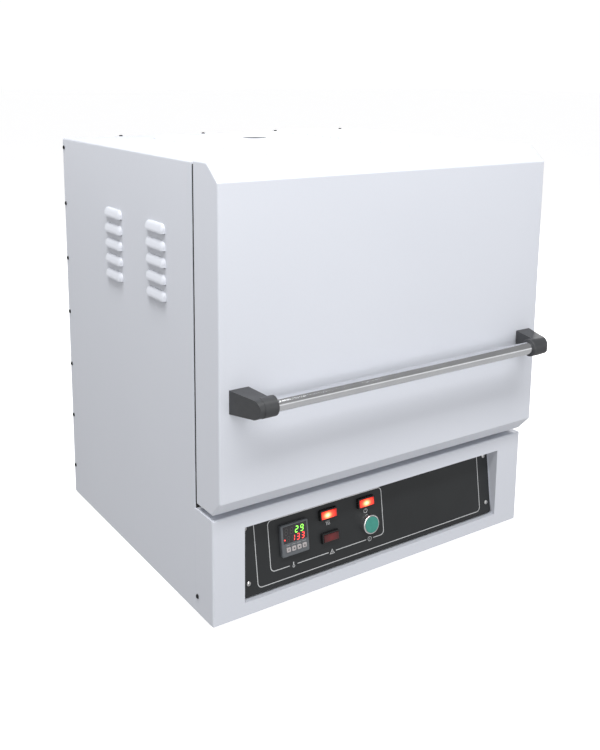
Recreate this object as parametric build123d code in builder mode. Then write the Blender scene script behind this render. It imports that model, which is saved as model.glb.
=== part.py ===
from build123d import *
import os
from math import cos, radians, sin, sqrt

os.makedirs("parts", exist_ok=True)

# An electric bench-top box kiln. Millimetres, +Z up, the door faces -Y.
# The origin is the centre of the whole object's footprint, on the surface that the feet stand on.
# Lengths called y below are measured back from the front edge of the case, so a negative y is in front.

# ---- Driving dimensions: case ----
case_width = 600.0
case_height = 650.0
case_depth = 470.0
sheet = 1.5
skirt_gap = 3.0            # the skirts end this far above the standing surface
lid_rim = 4.0              # turned-down rim of the top cover
pan_height = 5.0           # underside of the base pan
gland_out = 18.0           # the cable gland behind the back panel
flue_y = 330.0
flue_hole_radius = 21.0

# ---- Driving dimensions: louvres ----
louvre_length = 60.0
louvre_height = 14.0
louvre_depth = 6.0
louvre_pitch = 24.3
louvre_wall = 1.2
louvre_corner = 9.0        # the rounding of a hood's two closed corners
side_louvre_columns = (109.0, 258.0)
side_louvre_top = 548.0
side_louvre_rows = 5
top_louvre_columns = (-142.0, 142.0)
top_louvre_fields = (86.0, 300.0)
top_louvre_rows = 7

# ---- Driving dimensions: plinth and control panel ----
plinth_out = 50.3
plinth_top = 162.0
window_half_width = 248.5
window_low = 23.7
window_high = 139.5
window_return = 26.0
panel_tilt = 8.4           # degrees, its top leans back
panel_root_out = 47.3      # the panel's plane meets the ground this far in front of the case
panel_half_width = 246.0
panel_low = 26.5
panel_high = 138.5
panel_thickness = 2.0

# ---- Driving dimensions: door ----
door_gap = 6.0
door_out = 71.0
door_low = 170.0
door_high = 652.0
top_bevel = (29.0, 24.0)       # depth, height
bottom_bevel = (22.0, 24.0)
door_lip = 20.0
door_tray_half_width = 240.0
plug_half_width = 145.0
plug_low, plug_high = 285.0, 515.0
plug_nose = 15.0

# ---- Driving dimensions: handle ----
bar_radius = 10.0
bar_out = 41.0                 # bar axis in front of the door
bar_z = 337.0
bar_half = 260.0
socket_radius = 14.0
bracket_outer_x = 285.0        # at the door, from where the outer side slants in
bracket_nose_x = 270.0
bracket_inner_x = 255.0
bracket_waist_x = 247.0        # the wedge's inner side at the nose
socket_end_x = 240.0
bracket_base_height = 33.0

# ---- Driving dimensions: door linkage ----
arm_length = 280.0
closed_angle = 45.0            # the arms hang this far below level when the door is shut
arm_spacing = 60.0
tip_out = 14.0
tip_z = 196.0
arm_x = (253.0, 259.0)
arm_width = 20.0
arm_end_radius = 13.0
pivot_pin_radius = 5.0
shaft_radius = 6.0
upper_pin_radius = 4.0
bush_wall = 2.0
running_clearance = 0.05
open_pivot_clearance = 0.6

# ---- Driving dimensions: hot box ----
chamber_half_width = 130.0
chamber_low, chamber_high = 300.0, 500.0
chamber_front, chamber_back = 40.0, 350.0
lining = 50.0
lining_back = 41.0
board = 35.0
board_back = 25.0
casing_sheet = 1.2
element_radius = 2.0
element_x = 125.5
element_runs = 6
element_pitch = 30.0
thermocouple_z = 480.0

# ---- Worked out ----
half_width = case_width / 2
inner_half = half_width - sheet
front_y = (door_out + bar_out + socket_radius - case_depth - gland_out) / 2
side_top = case_height - lid_rim
lid_under = case_height - sheet
fascia_y = (sheet, 2 * sheet)
box_back = chamber_back + lining_back + board_back
box_half = chamber_half_width + lining + board
box_low = chamber_low - lining - board
box_high = chamber_high + lining + board
pivot_y = arm_length * cos(radians(closed_angle)) - tip_out
pivot_z = tip_z + arm_length * sin(radians(closed_angle))
board_face = chamber_back + lining_back


# ---- Helpers ----
def finish(piece, name):
    """Label a finished piece and write it to its own file."""
    piece.part.label = name
    export_step(piece.part, f"parts/{name}.step")


def block(x, y, z, mode=Mode.ADD):
    """A box between (low, high) pairs, with y measured back from the case's front edge."""
    centre = (sum(x) / 2, front_y + sum(y) / 2, sum(z) / 2)
    with Locations(centre):
        Box(x[1] - x[0], y[1] - y[0], z[1] - z[0], mode=mode)


def around(centre, size):
    """The (low, high) pair of a span of this size about its centre."""
    return (centre - size / 2, centre + size / 2)


def mirrored(side, low, high):
    """The (low, high) pair of an x range on the right (side 1) or the left (side -1)."""
    return (low, high) if side > 0 else (-high, -low)


def rod_x(radius, x, y, z, mode=Mode.ADD):
    """A cylinder along X."""
    with Locations(Location((sum(x) / 2, front_y + y, z), (0, 90, 0))):
        Cylinder(radius, x[1] - x[0], mode=mode)


def rod_y(radius, x, y, z, mode=Mode.ADD):
    """A cylinder along Y."""
    with Locations(Location((x, front_y + sum(y) / 2, z), (90, 0, 0))):
        Cylinder(radius, y[1] - y[0], mode=mode)


def rod_z(radius, x, y, z, mode=Mode.ADD):
    """A cylinder along Z."""
    with Locations((x, front_y + y, sum(z) / 2)):
        Cylinder(radius, z[1] - z[0], mode=mode)


def front_plane(y):
    """A plane facing the front, in X and Z, at y."""
    return Plane.XZ.offset(-(front_y + y))


def side_plane(x):
    """A plane facing +X, in y and Z, at x."""
    return Plane(origin=(x, front_y, 0), x_dir=(0, 1, 0), z_dir=(1, 0, 0))


def on_side(side, y, z):
    """A place on a side panel's outer face, its local Z outward."""
    return Plane(origin=(side * half_width, front_y + y, z), x_dir=(0, side, 0), z_dir=(side, 0, 0)).location


panel_plane = Plane(
    origin=(0, front_y - panel_root_out, 0),
    x_dir=(1, 0, 0),
    z_dir=(0, -cos(radians(panel_tilt)), sin(radians(panel_tilt))),
)
panel_axis = Axis((0, 0, 0), tuple(panel_plane.z_dir))


def on_panel(x, v, n):
    """Where a point of the control panel lies: x across, v up its slope, n out of its face."""
    return panel_plane.location * Location((x, v, n))


def panel_block(x, v, n, mode=Mode.ADD):
    """A box between (low, high) pairs in the control panel's own directions."""
    with Locations(on_panel(sum(x) / 2, sum(v) / 2, sum(n) / 2)):
        Box(x[1] - x[0], v[1] - v[0], n[1] - n[0], mode=mode)


def panel_rod(radius, x, v, n, mode=Mode.ADD):
    """A cylinder along the control panel's normal."""
    with Locations(on_panel(x, v, sum(n) / 2)):
        Cylinder(radius, n[1] - n[0], mode=mode)


# ---- Louvres: pressed domed hoods, open along one long edge ----
low_edge = -louvre_height / 2
void_shift = -louvre_wall - 0.2
slit_inset = louvre_wall + 0.4
dome_levels = (0.0, 0.6, 0.9, 1.0)     # sections through a hood, as parts of its depth
dome_least = 0.2                       # its flat crown, as a part of its height
dome_ends = 1.1                        # how far the ends draw in for each millimetre of height


def hood_section(inset, level, shift=0.0):
    """A section through a hood: straight along its open edge, rounded at its closed corners."""
    reach = max(dome_least, sqrt(1 - level**2))
    length = louvre_length - 2 * inset - dome_ends * louvre_height * (1 - reach)
    outline = Rectangle(length, louvre_height * reach, align=(Align.CENTER, Align.MIN))
    outline = fillet(outline.vertices().group_by(Axis.Y)[-1], louvre_corner * reach)
    return (Pos(0, low_edge + shift, (louvre_depth - inset) * level) * outline).face()


hood = loft([hood_section(0, level) for level in dome_levels])
hood_void = loft([hood_section(louvre_wall, level, void_shift) for level in dome_levels])
louvre_slit = Pos(0, 0, -sheet) * extrude(hood_section(slit_inset, 0, -slit_inset), sheet, dir=(0, 0, 1))


def press_louvres(places):
    """Press a louvre at each place: local x along it, local -y its open edge, local z outward."""
    with Locations(*places):
        add(hood)
    with Locations(*places):
        add(hood_void, mode=Mode.SUBTRACT)
    with Locations(*places):
        add(louvre_slit, mode=Mode.SUBTRACT)


def side_louvre_places(side):
    """The louvres of one side panel, open downwards."""
    return [
        on_side(side, y, side_louvre_top - row * louvre_pitch)
        for y in side_louvre_columns
        for row in range(side_louvre_rows)
    ]


def top_louvre_places():
    """The louvres of the top cover, open towards the back."""
    middle = (top_louvre_rows - 1) / 2
    return [
        Plane(
            origin=(x, front_y + y + (row - middle) * louvre_pitch, case_height),
            x_dir=(-1, 0, 0),
            z_dir=(0, 0, 1),
        ).location
        for x in top_louvre_columns
        for y in top_louvre_fields
        for row in range(top_louvre_rows)
    ]


# ---- Case screws: pan heads, black, along the back edges and one on each side of the plinth ----
screw_inset = 5.0
screw_head_radius, screw_head_height = 3.4, 1.9
screw_shank_radius, screw_shank_length = 1.9, 8.0
screw_hole_radius = 2.1
side_screw_heights = [634.0 - 96.5 * i for i in range(7)]
top_screw_places = (-195.0, -30.0, 130.0, 288.0)
plinth_screw = (-5.0, 28.6)

# ================= CASE =================
gland_x, gland_z = -200.0, 62.0
gland_thread_radius = 10.0
back_face = (case_depth - sheet, case_depth)
flange_depth = 13.0
flange_span = (case_depth - sheet - flange_depth, case_depth - sheet)
back_screw_y = case_depth - screw_inset

with BuildPart() as top_cover:
    block((-half_width, half_width), (0, case_depth), (side_top, case_height))
    block((-inner_half, inner_half), (sheet, case_depth - sheet), (side_top, lid_under), Mode.SUBTRACT)
    fillet(top_cover.edges().filter_by_position(Axis.Z, case_height, case_height), 2.8)
    inner_edges = top_cover.edges().filter_by_position(Axis.Z, lid_under, lid_under)
    fillet(inner_edges, 1.3)
    press_louvres(top_louvre_places())
    rod_z(flue_hole_radius, 0, flue_y, (side_top, case_height), Mode.SUBTRACT)
    for screw_x in top_screw_places:
        rod_z(screw_hole_radius, screw_x, back_screw_y, (side_top, case_height), Mode.SUBTRACT)
finish(top_cover, "top_cover")


def side_panel_on(side):
    """One side panel: a flat sheet with a rounded front edge and two columns of louvres."""
    with BuildPart() as panel:
        block(mirrored(side, inner_half, half_width), (0, case_depth), (skirt_gap, side_top))
        front_edges = panel.edges().filter_by(Axis.Z).sort_by(Axis.Y)[:2]
        fillet(front_edges.sort_by(Axis.X)[-1 if side > 0 else 0], sheet - 0.1)
        press_louvres(side_louvre_places(side))
        for z in side_screw_heights:
            rod_x(screw_hole_radius, mirrored(side, inner_half, half_width), back_screw_y, z, Mode.SUBTRACT)
    return panel


left_side_panel = side_panel_on(-1)
finish(left_side_panel, "left_side_panel")
right_side_panel = side_panel_on(1)
finish(right_side_panel, "right_side_panel")

back_vent_places = (0, 590), (120, 75)
with BuildPart() as back_panel:
    block((-inner_half, inner_half), back_face, (skirt_gap, side_top))
    for side in (-1, 1):
        block(mirrored(side, inner_half - sheet, inner_half), flange_span, (skirt_gap + 6, side_top - 6))
    block((-inner_half + 18, inner_half - 18), flange_span, (side_top - sheet, side_top))
    rod_y(gland_thread_radius + 0.2, gland_x, back_face, gland_z, Mode.SUBTRACT)
    # Vent slots, high for the hot box and low for the electrics.
    with BuildSketch(front_plane(case_depth)):
        with Locations(*back_vent_places):
            with GridLocations(75, 14, 3, 4):
                SlotOverall(58, 5)
    extrude(amount=sheet, mode=Mode.SUBTRACT)
    for z in side_screw_heights:
        rod_x(screw_hole_radius, (-half_width, half_width), back_screw_y, z, Mode.SUBTRACT)
    for screw_x in top_screw_places[:3]:
        rod_z(screw_hole_radius, screw_x, back_screw_y, (side_top - 2 * sheet, side_top), Mode.SUBTRACT)
finish(back_panel, "back_panel")


def pan_head_screw():
    """A pan-head screw along its local +Z, its head's underside at the origin."""
    with BuildPart() as screw:
        with BuildSketch(Plane.XZ):
            with BuildLine():
                Polyline(
                    (0, -screw_shank_length),
                    (screw_shank_radius, -screw_shank_length),
                    (screw_shank_radius, 0),
                    (screw_head_radius, 0),
                    (screw_head_radius, screw_head_height * 0.4),
                )
                ThreePointArc(
                    (screw_head_radius, screw_head_height * 0.4),
                    (screw_head_radius * 0.72, screw_head_height * 0.85),
                    (0, screw_head_height),
                )
                Line((0, screw_head_height), (0, -screw_shank_length))
            make_face()
        revolve(axis=Axis.Z)
        # Cross recess.
        with Locations((0, 0, screw_head_height)):
            Box(3.6, 0.8, 2.0, mode=Mode.SUBTRACT)
            Box(0.8, 3.6, 2.0, mode=Mode.SUBTRACT)
    return screw.part


screw = pan_head_screw()
case_screw_places = [on_side(side, back_screw_y, z) for side in (-1, 1) for z in side_screw_heights]
case_screw_places += [Location((x, front_y + back_screw_y, case_height)) for x in top_screw_places]
case_screw_places += [on_side(side, *plinth_screw) for side in (-1, 1)]
with BuildPart() as case_screws:
    with Locations(*case_screw_places):
        add(screw)
finish(case_screws, "case_screws")

foot_places = [(x, y) for x in (-255.0, 255.0) for y in (40.0, 430.0)]
foot_stem_radius = 4.0
with BuildPart() as base_pan:
    block((-inner_half, inner_half), (2 * sheet, case_depth - sheet), (pan_height, pan_height + sheet))
    for side in (-1, 1):
        block(
            mirrored(side, inner_half - sheet, inner_half),
            (20, case_depth - 30),
            (pan_height + sheet, pan_height + 22),
        )
    for foot_x, foot_y in foot_places:
        rod_z(foot_stem_radius + 0.2, foot_x, foot_y, (0, 20), Mode.SUBTRACT)
    with BuildSketch(Plane.XY.offset(pan_height)):
        with Locations((60, front_y + 250)):
            with GridLocations(70, 16, 4, 5):
                SlotOverall(55, 6)
    extrude(amount=sheet, mode=Mode.SUBTRACT)
finish(base_pan, "base_pan")

# Push-in rubber feet: a pad, a stem through the pan and a barb above it.
with BuildPart() as feet:
    for foot_x, foot_y in foot_places:
        with BuildSketch(Plane.XZ):
            with BuildLine():
                Polyline(
                    (0, 0),
                    (17, 0),
                    (19, pan_height),
                    (foot_stem_radius, pan_height),
                    (foot_stem_radius, pan_height + sheet),
                    (foot_stem_radius + 2, pan_height + sheet),
                    (2.5, pan_height + sheet + 6),
                    (0, pan_height + sheet + 6),
                    close=True,
                )
            make_face()
        foot = revolve(axis=Axis.Z, mode=Mode.PRIVATE)
        with Locations((foot_x, front_y + foot_y, 0)):
            add(foot)
finish(feet, "feet")

mouth_margin = 8.0
mouth_half_width = chamber_half_width + mouth_margin
arm_slot_x = (sum(arm_x) / 2 - 9.0, sum(arm_x) / 2 + 9.0)
arm_slot_z = (190.0, 630.0)
fascia_low = 150.0
fascia_lip = 17.0
with BuildPart() as front_fascia:
    block((-inner_half, inner_half), fascia_y, (fascia_low, lid_under - 2))
    block(
        (-inner_half + 20, inner_half - 20),
        (fascia_y[1], fascia_y[1] + fascia_lip),
        (fascia_low, fascia_low + sheet),
    )
    block(
        (-mouth_half_width, mouth_half_width),
        fascia_y,
        (chamber_low - mouth_margin, chamber_high + mouth_margin),
        Mode.SUBTRACT,
    )
    for side in (-1, 1):
        block(mirrored(side, *arm_slot_x), fascia_y, arm_slot_z, Mode.SUBTRACT)
        # A flange along the inside of each side panel.
        block(
            mirrored(side, inner_half - sheet, inner_half),
            (fascia_y[1], fascia_y[1] + fascia_lip),
            (fascia_low, lid_under - 10),
        )
finish(front_fascia, "front_fascia")

# ================= PLINTH AND CONTROL PANEL =================
panel_screw_x = 236.5
panel_screw_v = (45.5, 126.2)
with BuildPart() as plinth:
    block((-half_width, half_width), (-plinth_out, 0), (skirt_gap, plinth_top))
    front_edges = plinth.edges().filter_by_position(Axis.Y, front_y - plinth_out, front_y - plinth_out)
    fillet(front_edges.sort_by(Axis.Z)[1:], 3.0)
    block((-inner_half, inner_half), (-plinth_out + sheet, 0), (skirt_gap, plinth_top - sheet), Mode.SUBTRACT)
    # Window and its inward return.
    block(
        (-window_half_width - sheet, window_half_width + sheet),
        (-plinth_out + sheet, -plinth_out + window_return),
        (window_low - sheet, window_high + sheet),
    )
    block(
        (-window_half_width, window_half_width),
        (-plinth_out, -plinth_out + window_return),
        (window_low, window_high),
        Mode.SUBTRACT,
    )
    # Bottom lip, turned back.
    block((-inner_half, inner_half), (-plinth_out + sheet, -plinth_out + 14), (skirt_gap, skirt_gap + sheet))
    # Tabs that hold the control panel.
    for side in (-1, 1):
        panel_block(
            mirrored(side, panel_screw_x - 8, window_half_width),
            (38, 134),
            (-panel_thickness - sheet, -panel_thickness),
        )
        for v in panel_screw_v:
            panel_rod(screw_hole_radius, side * panel_screw_x, v, (-10, 0), Mode.SUBTRACT)
        rod_x(
            screw_hole_radius, mirrored(side, inner_half - 1, half_width), plinth_screw[0], plinth_screw[1],
            Mode.SUBTRACT,
        )
finish(plinth, "plinth")

controller_x, controller_v, controller_size = -155.7, 91.8, 48.0
controller_body = 44.6
lamp_places = {
    "power_lamp_lens": (-92.2, 111.5),
    "heating_lamp_lens": (-20.1, 111.5),
    "safety_lamp_lens": (-91.0, 75.8),
}
lamp_bezel = (33.0, 17.0)
lamp_body = (28.6, 12.6)
lamp_lens = (27.4, 11.4)
start_x, start_v = -17.6, 77.0
start_hole_radius = 11.1
cutout_play = 0.2

with BuildPart() as control_panel:
    panel_block((-panel_half_width, panel_half_width), (panel_low, panel_high), (-panel_thickness, 0))
    fillet(control_panel.edges().filter_by(lambda e: abs(e.length - panel_thickness) < 0.01), 3.0)
    cut = (-panel_thickness, 0)
    panel_block(
        around(controller_x, controller_body + 2 * cutout_play),
        around(controller_v, controller_body + 2 * cutout_play),
        cut,
        Mode.SUBTRACT,
    )
    for lamp_x, lamp_v in lamp_places.values():
        panel_block(
            around(lamp_x, lamp_body[0] + 2 * cutout_play),
            around(lamp_v, lamp_body[1] + 2 * cutout_play),
            cut,
            Mode.SUBTRACT,
        )
    panel_rod(start_hole_radius, start_x, start_v, cut, Mode.SUBTRACT)
    for side in (-1, 1):
        for v in panel_screw_v:
            panel_rod(screw_hole_radius, side * panel_screw_x, v, cut, Mode.SUBTRACT)
finish(control_panel, "control_panel")

with BuildPart() as panel_screws:
    with Locations(*[on_panel(side * panel_screw_x, v, 0) for side in (-1, 1) for v in panel_screw_v]):
        add(screw)
finish(panel_screws, "panel_screws")

bezel_height = 6.0
controller_depth = 70.0
display_width, display_depth = 42.0, 1.6
display_v = (controller_v - 4.0, controller_v + 21.6)
key_size, key_gap, key_v = 7.2, 0.3, -13.6
key_offsets = (-13.2, -3.8, 5.6, 15.0)
key_proud, key_sunk, key_floor_gap = 0.9, 2.5, 0.8
with BuildPart() as controller_case:
    with BuildSketch(Plane(on_panel(controller_x, controller_v, 0))):
        RectangleRounded(controller_size, controller_size, 2.5)
    extrude(amount=bezel_height)
    chamfer(controller_case.faces().sort_by(panel_axis)[-1].edges(), 1.2)
    panel_block(
        around(controller_x, controller_body), around(controller_v, controller_body), (-controller_depth, 0)
    )
    panel_block(
        around(controller_x, display_width),
        display_v,
        (bezel_height - display_depth, bezel_height),
        Mode.SUBTRACT,
    )
    for offset_x in key_offsets:
        panel_block(
            around(controller_x + offset_x, key_size + 2 * key_gap),
            around(controller_v + key_v, key_size + 2 * key_gap),
            (bezel_height - key_sunk - key_floor_gap, bezel_height),
            Mode.SUBTRACT,
        )
finish(controller_case, "controller_case")

with BuildPart() as controller_window:
    window_n = (bezel_height - display_depth, bezel_height - 0.3)
    panel_block(around(controller_x, display_width), display_v, window_n)
finish(controller_window, "controller_window")

for number, offset_x in enumerate(key_offsets, start=1):
    with BuildPart() as controller_key:
        key_foot = on_panel(controller_x + offset_x, controller_v + key_v, bezel_height - key_sunk)
        with BuildSketch(Plane(key_foot)):
            RectangleRounded(key_size, key_size, 1.2)
        extrude(amount=key_sunk + key_proud)
        top_face = controller_key.faces().sort_by(panel_axis)[-1]
        fillet(top_face.edges(), 0.5)
    finish(controller_key, f"controller_key_{number}")

housing_height, housing_depth = 5.0, 25.0
lens_seat, lens_proud = 1.5, 1.4
with BuildPart() as lamp_housings:
    for lamp_x, lamp_v in lamp_places.values():
        with BuildSketch(Plane(on_panel(lamp_x, lamp_v, 0))):
            RectangleRounded(*lamp_bezel, 2.5)
        extrude(amount=housing_height, taper=8)
        panel_block(around(lamp_x, lamp_body[0]), around(lamp_v, lamp_body[1]), (-housing_depth, 0))
        seat = (lens_seat, housing_height)
        panel_block(around(lamp_x, lamp_lens[0]), around(lamp_v, lamp_lens[1]), seat, Mode.SUBTRACT)
finish(lamp_housings, "lamp_housings")

for name, (lamp_x, lamp_v) in lamp_places.items():
    with BuildPart() as lens:
        lens_n = (lens_seat, housing_height + lens_proud)
        panel_block(around(lamp_x, lamp_lens[0]), around(lamp_v, lamp_lens[1]), lens_n)
        top_face = lens.faces().sort_by(panel_axis)[-1]
        fillet(top_face.edges(), 1.2)
    finish(lens, name)

start_bezel_radius, start_bezel_height = 15.0, 11.0
start_bore, start_cap_radius = 13.0, 12.7
start_floor, start_cap_low, start_cap_high = 1.0, 5.5, 12.0
stem_radius, stem_end = 5.0, -10.0
tube_end = -20.0
with BuildPart() as start_bezel:
    panel_rod(start_bezel_radius, start_x, start_v, (0, start_bezel_height))
    top_face = start_bezel.faces().sort_by(panel_axis)[-1]
    fillet(top_face.edges(), 1.6)
    panel_rod(start_hole_radius - 0.1, start_x, start_v, (tube_end, 0))
    panel_rod(start_bore, start_x, start_v, (start_floor, start_bezel_height + 1), Mode.SUBTRACT)
    panel_rod(stem_radius + 0.3, start_x, start_v, (tube_end, start_floor), Mode.SUBTRACT)
finish(start_bezel, "start_bezel")

with BuildPart() as start_cap:
    panel_rod(start_cap_radius, start_x, start_v, (start_cap_low, start_cap_high))
    top_face = start_cap.faces().sort_by(panel_axis)[-1]
    fillet(top_face.edges(), 0.8)
    panel_rod(stem_radius, start_x, start_v, (stem_end, start_cap_low))
finish(start_cap, "start_cap")

contact_block_size = (28.0, 34.0, 32.0)
contact_block_end = tube_end - contact_block_size[2]
with BuildPart() as start_contact_block:
    panel_block(
        around(start_x, contact_block_size[0]),
        around(start_v, contact_block_size[1]),
        (contact_block_end, tube_end),
    )
    for terminal_v in around(start_v, 24.0):
        panel_rod(3.0, start_x, terminal_v, (contact_block_end - 4, contact_block_end))
finish(start_contact_block, "start_contact_block")

# ================= HOT BOX =================
lining_half = chamber_half_width + lining
lining_low, lining_high = chamber_low - lining, chamber_high + lining
flue_outer, flue_inner = 19.0, 15.0
sheath_radius = 3.0
bushing_radius = 7.0
element_low = 325.0
element_high = element_low + (element_runs - 1) * element_pitch
element_ends = [(side * element_x, z) for side in (-1, 1) for z in (element_low, element_high)]

with BuildPart() as chamber_floor:
    block((-lining_half, lining_half), (chamber_front, board_face), (lining_low, chamber_low))
finish(chamber_floor, "chamber_floor")

with BuildPart() as chamber_roof:
    block((-lining_half, lining_half), (chamber_front, board_face), (chamber_high, lining_high))
    rod_z(flue_outer, 0, flue_y, (chamber_high, lining_high), Mode.SUBTRACT)
finish(chamber_roof, "chamber_roof")

with BuildPart() as chamber_side_walls:
    for side in (-1, 1):
        wall = mirrored(side, chamber_half_width, lining_half)
        block(wall, (chamber_front, board_face), (chamber_low, chamber_high))
finish(chamber_side_walls, "chamber_side_walls")

with BuildPart() as chamber_back_wall:
    block((-chamber_half_width, chamber_half_width), (chamber_back, board_face), (chamber_low, chamber_high))
    for end_x, end_z in element_ends:
        rod_y(element_radius + 1, end_x, (chamber_back, board_face), end_z, Mode.SUBTRACT)
    rod_y(sheath_radius + 0.5, 0, (chamber_back, board_face), thermocouple_z, Mode.SUBTRACT)
finish(chamber_back_wall, "chamber_back_wall")

# Four bricks round the mouth.
with BuildPart() as mouth_frame:
    bricks = [
        ((-lining_half, lining_half), (lining_low, chamber_low)),
        ((-lining_half, lining_half), (chamber_high, lining_high)),
        ((-lining_half, -chamber_half_width), (chamber_low, chamber_high)),
        ((chamber_half_width, lining_half), (chamber_low, chamber_high)),
    ]
    for brick_x, brick_z in bricks:
        block(brick_x, (fascia_y[1], chamber_front), brick_z)
finish(mouth_frame, "mouth_frame")

hearth_half_width, hearth_thickness = 118.0, 10.0
hearth_y = (48.0, 335.0)
with BuildPart() as hearth_plate:
    block((-hearth_half_width, hearth_half_width), hearth_y, (chamber_low, chamber_low + hearth_thickness))
    fillet(hearth_plate.edges().filter_by(Axis.Z), 8)
    chamfer(hearth_plate.faces().sort_by(Axis.Z)[-1].edges(), 1.5)
finish(hearth_plate, "hearth_plate")

# Each element is one wire: level runs along its wall, both ends out through the back.
element_front, element_turn, element_tail = 62.0, 332.0, 438.0


def element_points():
    """The wire's corners, turn by turn, from its lower end to its upper end."""
    points = [(element_tail, element_low)]
    for run in range(element_runs - 1):
        turn = element_front if run % 2 == 0 else element_turn
        z = element_low + run * element_pitch
        points += [(turn, z), (turn, z + element_pitch)]
    points.append((element_tail, element_high))
    return points


with BuildPart() as heating_elements:
    for side in (-1, 1):
        with BuildLine(side_plane(side * element_x)) as wire:
            FilletPolyline(*element_points(), radius=element_pitch * 0.42)
        with BuildSketch(Plane(origin=wire.line @ 0, z_dir=wire.line % 0)):
            Circle(element_radius)
        sweep(path=wire.line)
finish(heating_elements, "heating_elements")

with BuildPart() as insulation_boards:
    board_span = (fascia_y[1], box_back)
    for side in (-1, 1):
        block(mirrored(side, lining_half, box_half), board_span, (box_low, box_high))
    block((-lining_half, lining_half), board_span, (box_low, lining_low))
    block((-lining_half, lining_half), board_span, (lining_high, box_high))
    block((-lining_half, lining_half), (board_face, box_back), (lining_low, lining_high))
    rod_z(flue_outer, 0, flue_y, (lining_high, box_high), Mode.SUBTRACT)
    for end_x, end_z in element_ends:
        rod_y(bushing_radius, end_x, (board_face, box_back), end_z, Mode.SUBTRACT)
    rod_y(sheath_radius + 0.5, 0, (board_face, box_back), thermocouple_z, Mode.SUBTRACT)
finish(insulation_boards, "insulation_boards")

casing_back = box_back + casing_sheet
with BuildPart() as inner_casing:
    outer = box_half + casing_sheet
    block((-outer, outer), (fascia_y[1], casing_back), (box_low - casing_sheet, box_high + casing_sheet))
    block((-box_half, box_half), (fascia_y[1], box_back), (box_low, box_high), Mode.SUBTRACT)
    rod_z(flue_outer, 0, flue_y, (box_high, box_high + casing_sheet), Mode.SUBTRACT)
    for end_x, end_z in element_ends:
        rod_y(bushing_radius, end_x, (box_back, casing_back), end_z, Mode.SUBTRACT)
    rod_y(sheath_radius + 0.5, 0, (box_back, casing_back), thermocouple_z, Mode.SUBTRACT)
finish(inner_casing, "inner_casing")

with BuildPart() as element_bushings:
    for end_x, end_z in element_ends:
        rod_y(bushing_radius, end_x, (board_face, casing_back + 12), end_z)
        rod_y(bushing_radius + 4, end_x, (casing_back, casing_back + 4), end_z)
        rod_y(element_radius + 0.4, end_x, (board_face, casing_back + 12), end_z, Mode.SUBTRACT)
finish(element_bushings, "element_bushings")

flue_top = case_height - 3
flue_collar_low = box_high + casing_sheet
with BuildPart() as flue_tube:
    rod_z(flue_outer, 0, flue_y, (chamber_high, flue_top))
    rod_z(flue_outer + 9, 0, flue_y, (flue_collar_low, flue_collar_low + 3))
    rod_z(flue_inner, 0, flue_y, (chamber_high, flue_top), Mode.SUBTRACT)
finish(flue_tube, "flue_tube")

sheath_reach = 60.0
head_size = 32.0
head_y = (casing_back + 8, casing_back + 30)
with BuildPart() as thermocouple:
    rod_y(sheath_radius, 0, (chamber_back - sheath_reach, head_y[0] + 2), thermocouple_z)
    rod_y(12, 0, (casing_back, casing_back + 4), thermocouple_z)
    block(around(0, head_size), head_y, around(thermocouple_z, head_size))
    fillet(thermocouple.edges().filter_by(Axis.Y).filter_by(lambda e: e.length > 20), 5)
finish(thermocouple, "thermocouple")

# The shelf under the hot box, with its two rails welded on.
shelf_z = 182.0
shelf_half_width = inner_half - sheet
shelf_flange = 20.0
rail_x, rail_y = (150.0, 180.0), (20.0, 400.0)
rail_top = box_low - casing_sheet
rail_wall = 2.0
with BuildPart() as shelf:
    block((-shelf_half_width, shelf_half_width), (fascia_y[1], 440), (shelf_z, shelf_z + sheet))
    for side in (-1, 1):
        flange_x = mirrored(side, shelf_half_width - sheet, shelf_half_width)
        block(flange_x, (25, 430), (shelf_z - shelf_flange, shelf_z))
        block(mirrored(side, *rail_x), rail_y, (shelf_z + sheet, rail_top))
        rail_hollow = mirrored(side, rail_x[0] + rail_wall, rail_x[1] - rail_wall)
        block(rail_hollow, rail_y, (shelf_z + sheet, rail_top - rail_wall), Mode.SUBTRACT)
finish(shelf, "shelf")

# ================= ELECTRICS =================
floor_z = pan_height + sheet
sink_x, sink_y = (120.0, 220.0), (300.0, 380.0)
sink_base, sink_top = floor_z + 34, floor_z + 40
fin_count, fin_pitch, fin_width = 11, 9.75, 2.5
with BuildPart() as heat_sink:
    block(sink_x, sink_y, (sink_base, sink_top))
    for i in range(fin_count):
        fin_x = sink_x[0] + i * fin_pitch
        block((fin_x, fin_x + fin_width), sink_y, (floor_z, sink_base))
finish(heat_sink, "heat_sink")

relay_centre = (sum(sink_x) / 2, sum(sink_y) / 2)
relay_size = (45.0, 58.0, 22.0)
relay_top = sink_top + relay_size[2]
with BuildPart() as solid_state_relay:
    block(
        around(relay_centre[0], relay_size[0]), around(relay_centre[1], relay_size[1]), (sink_top, relay_top)
    )
    fillet(solid_state_relay.edges().filter_by(Axis.Z), 3)
    with Locations((relay_centre[0], front_y + relay_centre[1], relay_top)):
        with GridLocations(24, 44, 2, 2):
            Cylinder(4.5, 6, align=(Align.CENTER, Align.CENTER, Align.MIN))
finish(solid_state_relay, "solid_state_relay")

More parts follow.
